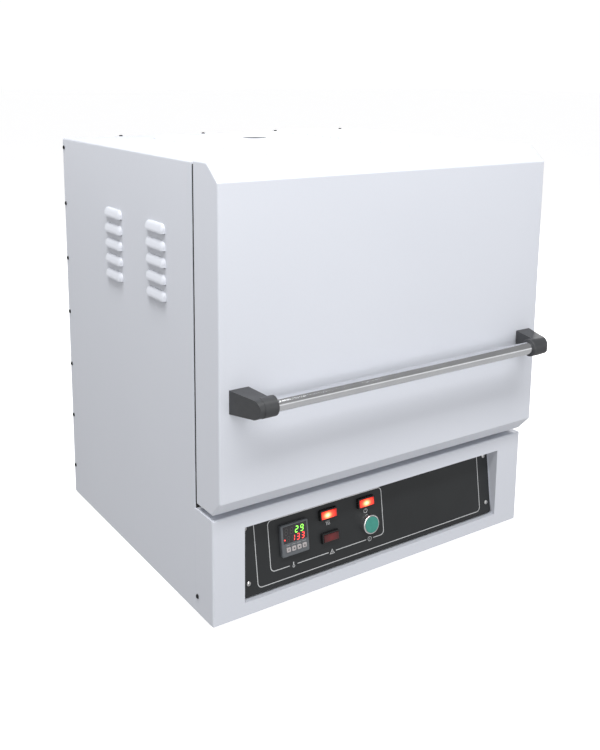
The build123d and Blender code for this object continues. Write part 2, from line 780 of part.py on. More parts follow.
contactor_centre = (-199.5, 337.5)
contactor_size = (45.0, 75.0, 62.0)
contactor_top = floor_z + contactor_size[2]
coil_size = (35.0, 45.0, 22.0)
with BuildPart() as contactor:
    block(
        around(contactor_centre[0], contactor_size[0]),
        around(contactor_centre[1], contactor_size[1]),
        (floor_z, contactor_top),
    )
    block(
        around(contactor_centre[0], coil_size[0]),
        around(contactor_centre[1], coil_size[1]),
        (contactor_top, contactor_top + coil_size[2]),
    )
    chamfer(contactor.faces().sort_by(Axis.Z)[-1].edges(), 1.5)
    with Locations((contactor_centre[0], front_y + contactor_centre[1], contactor_top)):
        with GridLocations(13.5, 61, 3, 2):
            Cylinder(4, 12, mode=Mode.SUBTRACT)
finish(contactor, "contactor")

terminal_y = (405.0, 429.0)
terminal_count, terminal_pitch, terminal_width = 6, 21.0, 19.0
rail_base_half, rail_base_height = 66.0, 8.0
terminal_top = floor_z + 38
with BuildPart() as terminal_block:
    block(
        (-rail_base_half, rail_base_half),
        (terminal_y[0] - 3, terminal_y[1] + 3),
        (floor_z, floor_z + rail_base_height),
    )
    for i in range(terminal_count):
        terminal_x = (i - (terminal_count - 1) / 2) * terminal_pitch
        block(around(terminal_x, terminal_width), terminal_y, (floor_z + rail_base_height, terminal_top))
        for screw_y in around(sum(terminal_y) / 2, 12):
            rod_z(3.2, terminal_x, screw_y, (terminal_top - 7, terminal_top), Mode.SUBTRACT)
finish(terminal_block, "terminal_block")

# Door sensor, on the back of the fascia beside the left slot.
with BuildPart() as door_sensor:
    block((-293, -278), (fascia_y[1], 14), (585, 625))
    fillet(door_sensor.edges().filter_by(Axis.Y), 2)
finish(door_sensor, "door_sensor")

gland_bore_radius = 6.5
gland_body, gland_nut, gland_in = 7.0, 5.0, 18.0
with BuildPart() as cable_gland:
    rod_y(gland_thread_radius, gland_x, (case_depth - gland_in, case_depth), gland_z)
    with BuildSketch(front_plane(case_depth + gland_body)):
        with Locations((gland_x, gland_z)):
            RegularPolygon(13.5, 6)
    extrude(amount=gland_body)
    with BuildSketch(front_plane(case_depth - sheet)):
        with Locations((gland_x, gland_z)):
            RegularPolygon(14, 6)
    extrude(amount=gland_nut)
    with BuildSketch(front_plane(case_depth + gland_out)):
        with Locations((gland_x, gland_z)):
            Circle(9.5)
    extrude(amount=gland_out - gland_body, taper=-8)
    rod_y(gland_bore_radius, gland_x, (case_depth - gland_in, case_depth + gland_out), gland_z, Mode.SUBTRACT)
finish(cable_gland, "cable_gland")

# ================= DOOR =================
door_profile = [
    (-door_gap, door_low),
    (-door_out + bottom_bevel[0], door_low),
    (-door_out, door_low + bottom_bevel[1]),
    (-door_out, door_high - top_bevel[1]),
    (-door_out + top_bevel[0], door_high),
    (-door_gap, door_high),
]
bolt_x = (bracket_outer_x + bracket_inner_x) / 2
bolt_z = (bar_z - 9.0, bar_z + 9.0)
bolt_radius = 2.5
with BuildPart() as door_skin:
    with BuildSketch(side_plane(-half_width)):
        with BuildLine():
            Polyline(*door_profile, close=True)
        make_face()
    extrude(amount=case_width)
    back_y = front_y - door_gap
    fillet(door_skin.edges().filter_by(lambda e: e.center().Y < back_y - 1), 2.8)
    # The hollow, with a lip left round the back and open ends to the two arm channels.
    with BuildSketch(side_plane(-inner_half)):
        with BuildLine():
            Polyline(*door_profile, close=True)
        make_face()
        offset(amount=-sheet, kind=Kind.INTERSECTION, mode=Mode.REPLACE)
    extrude(amount=2 * inner_half, mode=Mode.SUBTRACT)
    back_wall = (-door_gap - sheet, -door_gap)
    lip_x = half_width - door_lip
    block((-lip_x, lip_x), back_wall, (door_low + door_lip, door_high - door_lip), Mode.SUBTRACT)
    for side in (-1, 1):
        block(
            mirrored(side, door_tray_half_width, lip_x),
            back_wall,
            (door_low + sheet, door_low + door_lip),
            Mode.SUBTRACT,
        )
        for z in bolt_z:
            rod_y(bolt_radius + 0.2, side * bolt_x, (-door_out, -door_out + sheet), z, Mode.SUBTRACT)
finish(door_skin, "door_skin")

with BuildPart() as door_back_plate:
    block(
        (-door_tray_half_width, door_tray_half_width), back_wall, (door_low + door_lip, door_high - door_lip)
    )
    for side in (-1, 1):
        block(
            mirrored(side, door_tray_half_width - sheet, door_tray_half_width),
            (-40, -door_gap - sheet),
            (210, door_high - door_lip),
        )
    block((-plug_half_width, plug_half_width), back_wall, (plug_low, plug_high), Mode.SUBTRACT)
finish(door_back_plate, "door_back_plate")

pocket = (-40.0, -door_gap - sheet)
with BuildPart() as door_insulation:
    with BuildSketch(side_plane(-door_tray_half_width + 3)):
        with BuildLine():
            Polyline(
                (pocket[1], 212),
                (-door_out + 5, 212),
                (-door_out + 5, door_high - top_bevel[1] - 3),
                (-door_out + top_bevel[0] + 2, door_high - 6),
                (pocket[1], door_high - 6),
                close=True,
            )
        make_face()
    extrude(amount=2 * door_tray_half_width - 6)
    block((-plug_half_width, plug_half_width), pocket, (plug_low, plug_high), Mode.SUBTRACT)
finish(door_insulation, "door_insulation")

# The plug fills its pocket and then narrows to enter the mouth as the door swings in from above.
nose_root = {"half": 124.0, "low": 305.0, "high": 494.0}
nose_tip = {"half": 117.0, "low": 310.0, "high": 474.0}
with BuildPart() as door_plug:
    block((-plug_half_width, plug_half_width), (pocket[0], -door_gap), (plug_low, plug_high))
    for plane_y, nose in ((-door_gap, nose_root), (plug_nose, nose_tip)):
        with BuildSketch(front_plane(plane_y)):
            with Locations((0, (nose["low"] + nose["high"]) / 2)):
                RectangleRounded(2 * nose["half"], nose["high"] - nose["low"], 12)
    loft()
finish(door_plug, "door_plug")

rope_radius = 3.4
rope_y = -door_gap + rope_radius
rope_x, rope_low, rope_high = 152.0, 278.0, 522.0
rope_corner = 16.0
straight_x = rope_x - rope_corner
straight_low = rope_low + rope_corner
straight_high = rope_high - rope_corner
with BuildPart() as seal_rope:
    with BuildLine(front_plane(rope_y)) as rope_line:
        bottom = Line((0, rope_low), (straight_x, rope_low))
        turn_1 = JernArc(start=bottom @ 1, tangent=bottom % 1, radius=rope_corner, arc_size=90)
        right = Line(turn_1 @ 1, (rope_x, straight_high))
        turn_2 = JernArc(start=right @ 1, tangent=right % 1, radius=rope_corner, arc_size=90)
        top = Line(turn_2 @ 1, (-straight_x, rope_high))
        turn_3 = JernArc(start=top @ 1, tangent=top % 1, radius=rope_corner, arc_size=90)
        left = Line(turn_3 @ 1, (-rope_x, straight_low))
        turn_4 = JernArc(start=left @ 1, tangent=left % 1, radius=rope_corner, arc_size=90)
        Line(turn_4 @ 1, (0, rope_low))
    with BuildSketch(Plane(origin=(0, front_y + rope_y, rope_low), z_dir=(1, 0, 0))):
        Circle(rope_radius)
    sweep(path=rope_line.line)
finish(seal_rope, "seal_rope")

# ---- Handle ----
bar_y = -door_out - bar_out
socket_rim_width = 8.0
socket_proud = 0.5             # the socket's collar stands this much out of the wedge
bracket_nose_rounding = 3.0
bolt_depth = 18.0
bolt_head_radius, bolt_head_height = 4.5, 3.5
with BuildPart() as handle_bar:
    rod_x(bar_radius, (-bar_half, bar_half), bar_y, bar_z)
    chamfer(handle_bar.edges().filter_by(GeomType.CIRCLE), 1.0)
finish(handle_bar, "handle_bar")


def handle_bracket(side):
    """A moulded bracket: a wedge off the door that carries a round socket for the bar."""
    nose_radius = socket_radius - socket_proud
    nose_y = bar_y - nose_radius
    outer_foot = (-bracket_outer_x, front_y - door_out)
    outer_nose = (-bracket_nose_x, front_y + nose_y)
    inner_nose = (-bracket_waist_x, front_y + nose_y)
    inner_foot = (-bracket_inner_x, front_y - door_out)
    with BuildPart() as socket:
        rod_x(socket_radius, (-bracket_nose_x + socket_rim_width, -socket_end_x), bar_y, bar_z)
        fillet(socket.edges().filter_by(GeomType.CIRCLE).sort_by(Axis.X)[-1], 1.8)
    with BuildPart() as bracket:
        with BuildSketch(side_plane(-bracket_outer_x)):
            with BuildLine():
                Polyline(
                    (bar_y, bar_z - nose_radius),
                    (-door_out, bar_z - bracket_base_height / 2),
                    (-door_out, bar_z + bracket_base_height / 2),
                    (bar_y, bar_z + nose_radius),
                )
                ThreePointArc((bar_y, bar_z + nose_radius), (nose_y, bar_z), (bar_y, bar_z - nose_radius))
            make_face()
        extrude(amount=bracket_outer_x - bracket_waist_x)
        with BuildSketch(Plane.XY.offset(bar_z - bracket_base_height)) as plan:
            with BuildLine():
                Polyline(inner_foot, outer_foot, outer_nose, inner_nose, close=True)
            make_face()
            fillet(plan.vertices().sort_by(Axis.Y)[:2].sort_by(Axis.X)[0], bracket_nose_rounding)
        extrude(amount=2 * bracket_base_height, mode=Mode.INTERSECT)
        add(socket.part)
        rod_x(bar_radius, (-bar_half, -socket_end_x + 5), bar_y, bar_z, Mode.SUBTRACT)
        for z in bolt_z:
            rod_y(bolt_radius, -bolt_x, (-door_out - bolt_depth, -door_out), z, Mode.SUBTRACT)
    return bracket.part if side < 0 else bracket.part.mirror(Plane.YZ)


bracket_shapes = [handle_bracket(-1), handle_bracket(1)]
with BuildPart() as handle_brackets:
    add(bracket_shapes)
finish(handle_brackets, "handle_brackets")

with BuildPart() as handle_bolts:
    for side in (-1, 1):
        for z in bolt_z:
            rod_y(bolt_radius, side * bolt_x, (-door_out - bolt_depth, -door_out + sheet), z)
            rod_y(
                bolt_head_radius, side * bolt_x, (-door_out + sheet, -door_out + sheet + bolt_head_height), z
            )
finish(handle_bolts, "handle_bolts")

# ================= DOOR LINKAGE =================
tip_y = -tip_out
upper_tip_z = tip_z + arm_spacing
upper_pivot_z = pivot_z + arm_spacing
plate_x = (arm_x[0] - 7, arm_x[0] - 1)

with BuildPart() as door_hinge_plates:
    for side in (-1, 1):
        plate = mirrored(side, *plate_x)
        block(plate, (-45, tip_y + 6), (tip_z - 14, upper_tip_z + 16))
        block(plate, (-door_out + sheet, -45), (tip_z + 12, upper_tip_z + 16))
        block(
            mirrored(side, plate_x[1], plate_x[1] + 22),
            (-door_out + sheet, -door_out + sheet + 4),
            (tip_z + 12, upper_tip_z + 16),
        )
        rod_x(shaft_radius + running_clearance, plate, tip_y, tip_z, Mode.SUBTRACT)
        rod_x(upper_pin_radius, plate, tip_y, upper_tip_z, Mode.SUBTRACT)
finish(door_hinge_plates, "door_hinge_plates")

with BuildPart() as door_upper_pins:
    for side in (-1, 1):
        rod_x(upper_pin_radius, mirrored(side, plate_x[0], arm_x[1] + 3), tip_y, upper_tip_z)
        rod_x(upper_pin_radius + 3.5, mirrored(side, arm_x[1] + 0.6, arm_x[1] + 3), tip_y, upper_tip_z)
finish(door_upper_pins, "door_upper_pins")

with BuildPart() as cross_shaft:
    rod_x(shaft_radius, (-arm_x[1] - 4, arm_x[1] + 4), tip_y, tip_z)
    chamfer(cross_shaft.edges().filter_by(GeomType.CIRCLE), 0.8)
finish(cross_shaft, "cross_shaft")


def arms_at(z_shift, tip_radius, tip_hole):
    """A left and right arm from the case pivot to the door pivot."""
    with BuildPart() as arms:
        for side in (-1, 1):
            low_x = mirrored(side, *arm_x)[0]
            with BuildSketch(side_plane(low_x)):
                with Locations(
                    Location(
                        ((pivot_y + tip_y) / 2, (pivot_z + tip_z) / 2 + z_shift), (0, 0, closed_angle)
                    )
                ):
                    Rectangle(arm_length, arm_width)
                with Locations((pivot_y, pivot_z + z_shift)):
                    Circle(arm_end_radius)
                with Locations((tip_y, tip_z + z_shift)):
                    Circle(tip_radius)
                with Locations((pivot_y, pivot_z + z_shift)):
                    Circle(pivot_pin_radius + bush_wall, mode=Mode.SUBTRACT)
                with Locations((tip_y, tip_z + z_shift)):
                    Circle(tip_hole, mode=Mode.SUBTRACT)
            extrude(amount=arm_x[1] - arm_x[0])
    return arms


lower_arms = arms_at(0.0, arm_end_radius, shaft_radius)
finish(lower_arms, "lower_arms")
upper_arms = arms_at(arm_spacing, arm_end_radius - 2, upper_pin_radius + open_pivot_clearance)
finish(upper_arms, "upper_arms")

for name, z in (("lower_arm_bushes", pivot_z), ("upper_arm_bushes", upper_pivot_z)):
    with BuildPart() as arm_bushes:
        for side in (-1, 1):
            bush_x = mirrored(side, *arm_x)
            rod_x(pivot_pin_radius + bush_wall, bush_x, pivot_y, z)
            rod_x(pivot_pin_radius + running_clearance, bush_x, pivot_y, z, Mode.SUBTRACT)
    finish(arm_bushes, name)

bracket_face = box_half + casing_sheet
with BuildPart() as arm_pivot_brackets:
    for side in (-1, 1):
        block(
            mirrored(side, bracket_face, bracket_face + 4),
            (pivot_y - 32, pivot_y + 32),
            (pivot_z - 40, upper_pivot_z + 40),
        )
        for z in (pivot_z, upper_pivot_z):
            rod_x(13, mirrored(side, bracket_face + 4, arm_x[0] - 1), pivot_y, z)
            rod_x(pivot_pin_radius, mirrored(side, bracket_face + 6, arm_x[0] - 1), pivot_y, z, Mode.SUBTRACT)
finish(arm_pivot_brackets, "arm_pivot_brackets")

with BuildPart() as case_pivot_pins:
    for side in (-1, 1):
        for z in (pivot_z, upper_pivot_z):
            rod_x(pivot_pin_radius, mirrored(side, bracket_face + 6, arm_x[1] + 4), pivot_y, z)
            rod_x(pivot_pin_radius + 4, mirrored(side, arm_x[1] + 0.6, arm_x[1] + 4), pivot_y, z)
finish(case_pivot_pins, "case_pivot_pins")
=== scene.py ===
from math import cos, pi, radians, sin

import bpy
from mathutils import Matrix, Vector


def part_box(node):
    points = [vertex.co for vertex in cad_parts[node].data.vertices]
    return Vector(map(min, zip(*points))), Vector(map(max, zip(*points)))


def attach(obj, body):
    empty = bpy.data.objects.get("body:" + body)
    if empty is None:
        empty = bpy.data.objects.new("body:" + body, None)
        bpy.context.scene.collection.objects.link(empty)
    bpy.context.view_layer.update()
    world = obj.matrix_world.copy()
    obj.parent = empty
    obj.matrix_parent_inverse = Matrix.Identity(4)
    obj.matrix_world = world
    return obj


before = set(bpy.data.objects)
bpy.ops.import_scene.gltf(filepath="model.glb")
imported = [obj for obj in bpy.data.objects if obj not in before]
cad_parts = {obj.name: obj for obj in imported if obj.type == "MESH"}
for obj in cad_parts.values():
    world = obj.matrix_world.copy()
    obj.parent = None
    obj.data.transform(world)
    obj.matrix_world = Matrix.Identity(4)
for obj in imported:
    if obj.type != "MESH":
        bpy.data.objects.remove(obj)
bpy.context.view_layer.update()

# An electric bench-top box kiln. Metres, +Z up, the door faces -Y.
MM = 0.001

# ---- The control panel's own directions: u across, v up its slope, n out of its face ----
PANEL_TILT = radians(8.4)
PANEL_LOW = 26.5 * MM              # v of the panel's lower edge
panel_root_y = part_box("control_panel")[0].y - PANEL_LOW * sin(PANEL_TILT)
panel_matrix = Matrix(
    (
        (1, 0, 0, 0),
        (0, sin(PANEL_TILT), -cos(PANEL_TILT), panel_root_y),
        (0, cos(PANEL_TILT), sin(PANEL_TILT), 0),
        (0, 0, 0, 1),
    )
)


# ================= MATERIALS =================
class Finish:
    """A Principled material built up from textures in the object's own space, in metres."""

    def __init__(self, name, **values):
        self.material = bpy.data.materials.new(name)
        self.material.use_nodes = True
        self.nodes = self.material.node_tree.nodes
        self.links = self.material.node_tree.links
        self.shader = self.nodes["Principled BSDF"]
        self.place = self.nodes.new("ShaderNodeTexCoord").outputs["Object"]
        self.height = None
        for socket, value in values.items():
            self.shader.inputs[socket.replace("_", " ")].default_value = value

    def node(self, kind, inputs, **settings):
        made = self.nodes.new(kind)
        for key, value in settings.items():
            setattr(made, key, value)
        for key, value in inputs.items():
            if isinstance(value, bpy.types.NodeSocket):
                self.links.new(value, made.inputs[key])
            else:
                made.inputs[key].default_value = value
        return made

    def moved(self, scale=(1, 1, 1), shift=(0, 0, 0), turn=(0, 0, 0)):
        """The object's coordinates shifted, turned and then scaled."""
        shifted = self.node("ShaderNodeMapping", {"Vector": self.place, "Location": shift}).outputs[0]
        inputs = {"Vector": shifted, "Rotation": turn, "Scale": scale}
        return self.node("ShaderNodeMapping", inputs).outputs[0]

    def noise(self, size, detail=2.0, roughness=0.5, place=None):
        """Soft noise whose features are about this many metres across."""
        inputs = {"Vector": place or self.place, "Scale": 1 / size, "Detail": detail, "Roughness": roughness}
        return self.node("ShaderNodeTexNoise", inputs).outputs["Fac"]

    def cells(self, size, output="Distance", feature="F1"):
        """A field of cells this many metres across."""
        inputs = {"Vector": self.place, "Scale": 1 / size}
        return self.node("ShaderNodeTexVoronoi", inputs, feature=feature).outputs[output]

    def waves(self, size, place=None):
        """Smooth bands across X."""
        inputs = {"Vector": place or self.place, "Scale": 1 / size, "Distortion": 0.0}
        made = self.node("ShaderNodeTexWave", inputs, bands_direction="X", wave_profile="SIN")
        return made.outputs["Fac"]

    def math(self, operation, first, second):
        return self.node("ShaderNodeMath", {0: first, 1: second}, operation=operation).outputs[0]

    def span(self, value, low, high, from_low=0.0, from_high=1.0):
        """A value mapped from one range to another."""
        inputs = {"Value": value, "From Min": from_low, "From Max": from_high, "To Min": low, "To Max": high}
        return self.node("ShaderNodeMapRange", inputs).outputs[0]

    def blend(self, factor, first, second):
        """A mix of two colours, each a colour or the output of another node."""
        made = self.node("ShaderNodeMix", {"Factor": factor}, data_type="RGBA")
        for key, value in ((6, first), (7, second)):
            if isinstance(value, bpy.types.NodeSocket):
                self.links.new(value, made.inputs[key])
            else:
                made.inputs[key].default_value = (*value, 1.0)
        return made.outputs[2]

    def ramp(self, value, stops):
        """A colour ramp with (position, colour) stops."""
        made = self.node("ShaderNodeValToRGB", {"Fac": value})
        points = made.color_ramp.elements
        while len(points) < len(stops):
            points.new(0.5)
        for point, (position, colour) in zip(points, stops):
            point.position = position
            point.color = (*colour, 1.0)
        return made.outputs["Color"]

    def put(self, socket, value):
        self.links.new(value, self.shader.inputs[socket])

    def bump(self, value, depth, strength=1.0):
        """Relief this many metres deep, on top of any that is already there."""
        inputs = {"Height": value, "Distance": depth, "Strength": strength}
        if self.height is not None:
            inputs["Normal"] = self.height
        self.height = self.node("ShaderNodeBump", inputs).outputs["Normal"]
        self.put("Normal", self.height)


def powder_coat():
    """Pale grey powder coat: orange peel, fine grain, and a very slight drift in tone."""
    look = Finish("powder_coat", Coat_Weight=0.12, Coat_Roughness=0.28)
    tone = look.noise(0.22, detail=3)
    speck = look.cells(0.0021)
    body = look.blend(tone, (0.690, 0.714, 0.776), (0.725, 0.748, 0.808))
    look.put("Base Color", look.blend(look.span(speck, 0.0, 0.10), body, (0.61, 0.635, 0.70)))
    look.put("Roughness", look.span(look.noise(0.012, detail=4), 0.36, 0.50))
    look.bump(look.noise(0.0032, detail=1.5), 0.00009, 0.55)
    look.bump(look.noise(0.0007, detail=1), 0.00002, 0.5)
    return look.material


def zinc_sheet():
    """Zinc-plated sheet: soft spangle, rolling lines and a few scuffs."""
    look = Finish("zinc_sheet", Metallic=1.0)
    spangle = look.cells(0.013, output="Color")
    grey = look.node("ShaderNodeRGBToBW", {"Color": spangle}).outputs[0]
    tone = look.span(grey, 0.35, 0.65)
    rolled = look.noise(0.0035, detail=5, place=look.moved(scale=(1, 0.06, 0.06)))
    base = look.blend(tone, (0.46, 0.47, 0.49), (0.60, 0.61, 0.62))
    look.put("Base Color", look.blend(look.span(rolled, 0, 0.5), base, (0.66, 0.67, 0.68)))
    look.put("Roughness", look.span(look.math("ADD", grey, rolled), 0.30, 0.56, 0.4, 1.6))
    look.bump(rolled, 0.00004, 0.5)
    return look.material


def polished_steel(name="polished_steel", colour=(0.76, 0.77, 0.79), low=0.11, high=0.24):
    """Polished bar: fine lines along X and faint hazing."""
    look = Finish(name, Metallic=1.0, Anisotropic=0.35)
    lines = look.noise(0.0006, detail=3, place=look.moved(scale=(0.012, 1, 1)))
    haze = look.noise(0.03, detail=4)
    light = tuple(min(1.0, c * 1.13) for c in colour)
    look.put("Base Color", look.blend(haze, colour, light))
    look.put("Roughness", look.span(look.math("ADD", lines, haze), low, high, 0.6, 1.4))
    look.bump(lines, 0.000012, 0.4)
    return look.material


def plated_steel():
    """Bright plated screws and pins: fine machining marks and dull patches."""
    look = Finish("plated_steel", Metallic=1.0)
    marks = look.noise(0.0005, detail=4)
    patches = look.noise(0.004, detail=3)
    look.put("Base Color", look.blend(patches, (0.60, 0.60, 0.60), (0.76, 0.76, 0.75)))
    look.put("Roughness", look.span(marks, 0.18, 0.38))
    look.bump(marks, 0.00002, 0.4)
    return look.material


def black_oxide():
    """Black oxide screws: dark, slightly blue, worn brighter in specks."""
    look = Finish("black_oxide", Metallic=0.75)
    wear = look.span(look.noise(0.0009, detail=5), 0.0, 1.0, 0.55, 0.80)
    look.put("Base Color", look.blend(wear, (0.018, 0.019, 0.022), (0.10, 0.10, 0.105)))
    look.put("Roughness", look.span(look.noise(0.0015), 0.36, 0.58))
    look.bump(look.noise(0.0006), 0.00003, 0.4)
    return look.material


def stove_black():
    """Black paint on the front fascia, a painted shade that darkens the door gap: matt, grainy, a little grey
    where it has been hot.
    """
    look = Finish("stove_black", Specular_IOR_Level=0.3)
    bloom = look.span(look.noise(0.07, detail=5), 0.0, 1.0, 0.4, 0.8)
    look.put("Base Color", look.blend(bloom, (0.030, 0.030, 0.032), (0.062, 0.060, 0.058)))
    look.put("Roughness", look.span(look.noise(0.004, detail=3), 0.62, 0.82))
    look.bump(look.noise(0.0012, detail=2), 0.00005, 0.6)
    return look.material


def rubber():
    """Moulded rubber: matt, dusty, finely pitted."""
    look = Finish("rubber", Specular_IOR_Level=0.3)
    dust = look.span(look.noise(0.006, detail=5), 0.0, 1.0, 0.45, 0.85)
    look.put("Base Color", look.blend(dust, (0.018, 0.018, 0.019), (0.065, 0.063, 0.060)))
    look.put("Roughness", look.span(look.noise(0.003), 0.72, 0.92))
    look.bump(look.cells(0.0011), 0.00006, 0.5)
    return look.material


def panel_black():
    """Satin black panel paint with a fine leathery texture."""
    look = Finish("panel_black", Specular_IOR_Level=0.45)
    tone = look.noise(0.05, detail=3)
    look.put("Base Color", look.blend(tone, (0.013, 0.015, 0.016), (0.022, 0.024, 0.026)))
    look.put("Roughness", look.span(look.noise(0.004, detail=3), 0.34, 0.50))
    look.bump(look.cells(0.0013, feature="SMOOTH_F1"), 0.00004, 0.5)
    look.bump(look.noise(0.0005), 0.00001, 0.5)
    return look.material


def moulded(name, dark, light, grain=0.0007, low=0.42, high=0.60):
    """Moulded plastic with a spark-eroded grain and slight mottling."""
    depth = 0.00004
    look = Finish(name, Specular_IOR_Level=0.5)
    look.put("Base Color", look.blend(look.noise(0.009, detail=4), dark, light))
    look.put("Roughness", look.span(look.noise(0.002, detail=3), low, high))
    look.bump(look.cells(grain, feature="SMOOTH_F1"), depth, 0.6)
    look.bump(look.noise(grain * 0.4, detail=1), depth * 0.4, 0.5)
    return look.material


def smoked_window():
    """The display's dark window: glossy, with a faint red-brown tint and wiping marks."""
    look = Finish("smoked_window", Coat_Weight=0.6, Coat_Roughness=0.05)
    haze = look.noise(0.008, detail=3)
    look.put("Base Color", look.blend(haze, (0.020, 0.019, 0.022), (0.036, 0.034, 0.038)))
    wiped = look.noise(0.0012, detail=3, place=look.moved(scale=(0.15, 1, 1)))
    look.put("Roughness", look.span(wiped, 0.10, 0.24))
    return look.material


def lens(name, node, hot_shift, stops, strength, body):
    """A ribbed lamp lens, brightest at its lamp. Its place comes from the CAD node."""
    low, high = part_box(node)
    centre = (low + high) / 2
    half = (high - low) / 2
    look = Finish(name, Coat_Weight=0.5, Coat_Roughness=0.08, Roughness=0.22)
    shift = (-centre.x - hot_shift * half.x, -centre.y, -centre.z)
    reach = half.x * 1.15
    spot = look.moved(shift=shift, scale=(1 / reach, 0.6 / reach, 1.5 / reach))
    glow = look.node("ShaderNodeTexGradient", {"Vector": spot}, gradient_type="SPHERICAL").outputs["Fac"]
    ribs = look.waves(0.0011 * 2 * pi)
    glow = look.math("MULTIPLY", glow, look.span(ribs, 0.88, 1.06))
    colour = look.ramp(glow, stops)
    look.put("Base Color", look.ramp(glow, [(0.0, tuple(0.3 * c for c in body)), (1.0, body)]))
    look.put("Emission Color", colour)
    look.put("Emission Strength", look.span(glow, 0.35 * strength, strength))
    look.bump(ribs, 0.00012, 0.7)
    look.bump(look.noise(0.0009), 0.00002, 0.4)
    return look.material


def glowing(name, colour, strength):
    """A lit display segment, a little uneven along its length."""
    look = Finish(name, Roughness=0.4)
    uneven = look.noise(0.0016, detail=2)
    dim = tuple(c * 0.72 for c in colour)
    look.put("Base Color", look.blend(uneven, tuple(c * 0.2 for c in colour), tuple(c * 0.3 for c in colour)))
    look.put("Emission Color", look.blend(uneven, dim, colour))
    look.put("Emission Strength", look.span(uneven, 0.8 * strength, 1.1 * strength))
    return look.material


def screen_ink(name, dark, light):
    """Screen-printed ink: slightly uneven, with ragged coverage."""
    look = Finish(name, Specular_IOR_Level=0.4)
    look.put("Base Color", look.blend(look.noise(0.0008, detail=4), dark, light))
    look.put("Roughness", look.span(look.noise(0.002), 0.45, 0.62))
    look.bump(look.noise(0.0004), 0.000008, 0.5)
    return look.material


def push_cap():
    """The start button's blue-green cap: glossy, lightly swirled."""
    look = Finish("push_cap", Coat_Weight=0.35, Coat_Roughness=0.12)
    swirl = look.noise(0.006, detail=4)
    look.put("Base Color", look.blend(swirl, (0.030, 0.245, 0.200), (0.060, 0.330, 0.265)))
    look.put("Roughness", look.span(look.noise(0.0022, detail=3), 0.26, 0.42))
    look.bump(look.noise(0.0008), 0.00002, 0.4)
    return look.material


def fibre(name, dark, light, scorch, fluff=0.00035):
    """Vacuum-formed ceramic fibre: matted strands, small pits, and warmer patches from firing."""
    look = Finish(name, Specular_IOR_Level=0.15, Sheen_Weight=0.25, Sheen_Roughness=0.6)
    matted = look.moved(scale=(1, 0.35, 1), turn=(0.5, 0.3, 0.8))
    strands = look.noise(0.0030, detail=7, roughness=0.7, place=matted)
    pits = look.cells(0.0055, feature="SMOOTH_F1")
    patches = look.span(look.noise(0.09, detail=4), 0.0, 0.7, 0.45, 0.75)
    base = look.blend(strands, dark, light)
    look.put("Base Color", look.blend(patches, base, scorch))
    look.put("Roughness", look.span(strands, 0.86, 0.98))
    look.bump(strands, fluff, 0.8)
    look.bump(pits, fluff * 0.8, 0.5)
    return look.material


def fired_clay(name, dark, light, washed):
    """Fired cordierite: sandy grog, dark iron specks and kiln-wash blotches."""
    look = Finish(name, Specular_IOR_Level=0.3)
    grog = look.cells(0.0026, output="Color")
    grey = look.node("ShaderNodeRGBToBW", {"Color": grog}).outputs[0]
    specks = look.span(look.cells(0.0075), 1.0, 0.0, 0.06, 0.13)
    wash = look.span(look.noise(0.05, detail=5), 0.0, 0.65, 0.48, 0.72)
    base = look.blend(grey, dark, light)
    faded = look.blend(wash, base, washed)
    look.put("Base Color", look.blend(look.math("MULTIPLY", specks, 0.8), faded, (0.10, 0.07, 0.05)))
    look.put("Roughness", look.span(look.noise(0.004, detail=4), 0.74, 0.94))
    look.bump(look.noise(0.0014, detail=5), 0.00022, 0.7)
    return look.material


def element_wire():
    """Oxidised resistance wire: a grey-brown scale with lighter alumina bloom."""
    look = Finish("element_wire", Metallic=0.55)
    scale = look.noise(0.0022, detail=6, roughness=0.65)
    look.put("Base Color", look.blend(scale, (0.075, 0.062, 0.052), (0.27, 0.24, 0.215)))
    look.put("Roughness", look.span(scale, 0.52, 0.82))
    look.bump(scale, 0.00012, 0.7)
    return look.material


def braided_rope():
    """Braided glass rope: two crossing sets of yarn, a little grey where it is pressed."""
    look = Finish("braided_rope", Specular_IOR_Level=0.2, Sheen_Weight=0.3, Sheen_Roughness=0.5)
    yarn = 0.0026 * 2 * pi
    one = look.waves(yarn, place=look.moved(turn=(0, radians(45), 0)))
    other = look.waves(yarn, place=look.moved(turn=(0, radians(-45), 0)))
    weave = look.math("MAXIMUM", one, other)
    tone = look.blend(weave, (0.30, 0.28, 0.25), (0.78, 0.75, 0.68))
    soil = look.span(look.noise(0.03, detail=4), 0.0, 0.45, 0.45, 0.8)
    look.put("Base Color", look.blend(soil, tone, (0.42, 0.38, 0.33)))
    look.put("Roughness", look.span(weave, 0.95, 0.78))
    look.bump(weave, 0.0005, 0.8)
    look.bump(look.noise(0.0005, detail=3), 0.0001, 0.5)
    return look.material


def bronze():
    """Sintered bronze bushes: warm, porous and oily."""
    look = Finish("sintered_bronze", Metallic=1.0)
    look.put("Base Color", look.blend(look.noise(0.003, detail=4), (0.44, 0.27, 0.12), (0.64, 0.42, 0.20)))
    look.put("Roughness", look.span(look.noise(0.0012), 0.32, 0.52))
    look.bump(look.cells(0.0005), 0.00004, 0.5)
    return look.material


def extruded_aluminium():
    """Clear-anodised aluminium with extrusion lines along Y."""
    look = Finish("extruded_aluminium", Metallic=1.0)
    lines = look.noise(0.0005, detail=3, place=look.moved(scale=(1, 0.01, 1)))
    look.put("Base Color", look.blend(lines, (0.58, 0.59, 0.61), (0.72, 0.73, 0.74)))
    look.put("Roughness", look.span(lines, 0.30, 0.46))
    look.bump(lines, 0.00002, 0.5)
    return look.material


